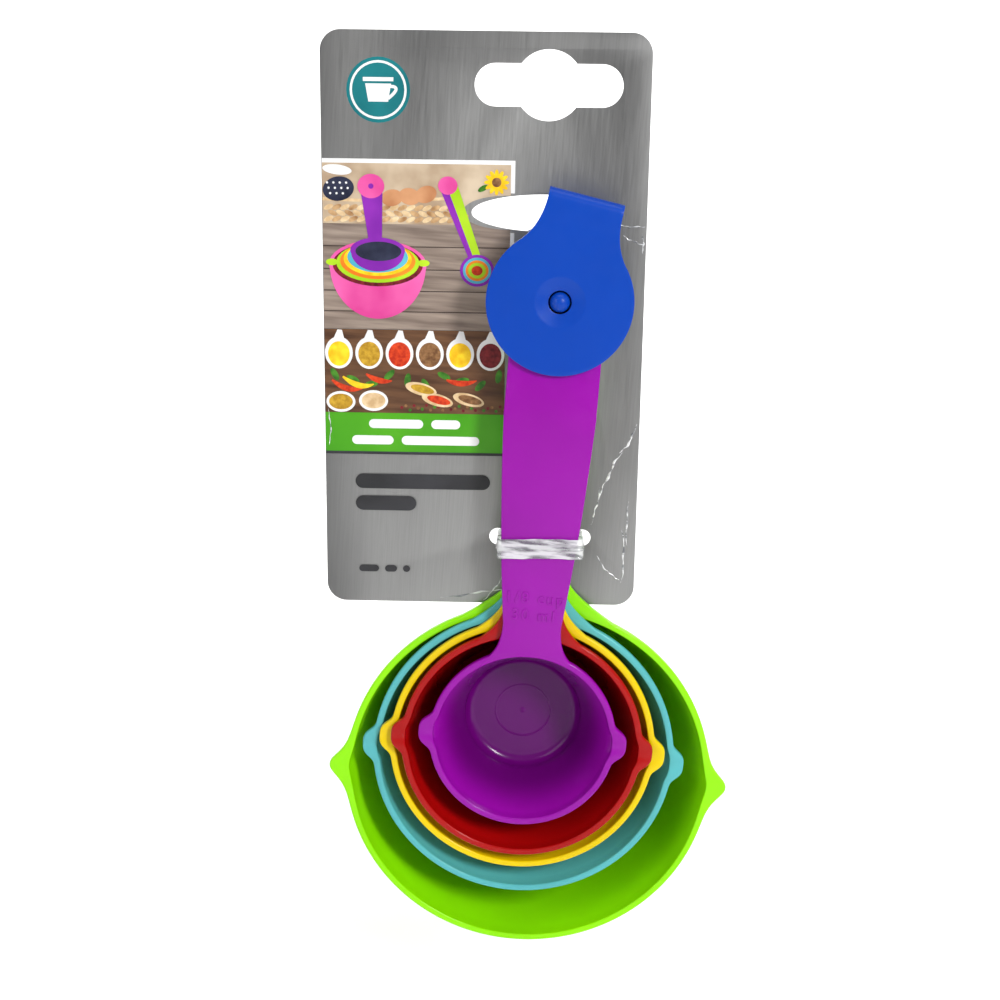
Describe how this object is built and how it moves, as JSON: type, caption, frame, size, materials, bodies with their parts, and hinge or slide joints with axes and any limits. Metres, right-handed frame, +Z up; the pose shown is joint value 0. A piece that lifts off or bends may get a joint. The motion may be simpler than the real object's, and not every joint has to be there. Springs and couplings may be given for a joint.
{
  "type": "measuring cup set",
  "caption": "Nested plastic measuring cups with flat handles and side pour spouts, held on a folding snap clip and a twist tie against a slotted metallic hang card.",
  "frame": {"origin": "top of the card's hang hole, where the peg carries it, in the middle of the card's thickness", "axes": "+Z up along the hanging handles, -Y towards the viewer and the mouths of the cups, +X to the viewer's right"},
  "size_m": [0.1283, 0.0497, 0.2626],
  "materials": {
    "purple_plastic": "gloss moulded",
    "red_plastic": "gloss moulded",
    "yellow_plastic": "gloss moulded",
    "light_blue_plastic": "gloss moulded",
    "green_plastic": "gloss moulded",
    "blue_plastic": "satin moulded",
    "silver_card": "brushed metallic laminate on board",
    "clear_film": "clear film",
    "steel_wire": "bright drawn"
  },
  "bodies": {
    "card": {"hang_card": "silver_card", "tie_ribbon": "clear_film", "tie_wire": "steel_wire"},
    "clip_back": {"clip_back_leaf": "blue_plastic"},
    "clip_front": {"clip_front_leaf": "blue_plastic"},
    "cup_eighth": {"cup_eighth": "purple_plastic"},
    "cup_quarter": {"cup_quarter": "red_plastic"},
    "cup_third": {"cup_third": "yellow_plastic"},
    "cup_half": {"cup_half": "light_blue_plastic"},
    "cup_full": {"cup_full": "green_plastic"}
  },
  "joints": [
    {"name": "clip_swivel", "type": "hinge", "parent": "card", "child": "clip_back", "pos_m": [0.0079, 0, -0.0639], "axis": [0, 1, 0], "range_deg": [-30, 0]},
    {"name": "clip_fold", "type": "hinge", "parent": "clip_back", "child": "clip_front", "pos_m": [0.01264, -0.0128, -0.03701], "axis": [-0.9848, 0, 0.1736], "range_deg": [0, 150]},
    {"name": "cup_eighth_swing", "type": "hinge", "parent": "card", "child": "cup_eighth", "pos_m": [0.0079, 0, -0.0639], "axis": [0, 1, 0], "range_deg": [-0.3, 0.3]},
    {"name": "cup_quarter_swing", "type": "hinge", "parent": "card", "child": "cup_quarter", "pos_m": [0.0079, 0, -0.0639], "axis": [0, 1, 0], "range_deg": [-0.3, 0.3]},
    {"name": "cup_third_swing", "type": "hinge", "parent": "card", "child": "cup_third", "pos_m": [0.0079, 0, -0.0639], "axis": [0, 1, 0], "range_deg": [-0.3, 0.3]},
    {"name": "cup_half_swing", "type": "hinge", "parent": "card", "child": "cup_half", "pos_m": [0.0079, 0, -0.0639], "axis": [0, 1, 0], "range_deg": [-0.3, 0.3]},
    {"name": "cup_full_swing", "type": "hinge", "parent": "card", "child": "cup_full", "pos_m": [0.0079, 0, -0.0639], "axis": [0, 1, 0], "range_deg": [-0.3, 0.3]}
  ]
}
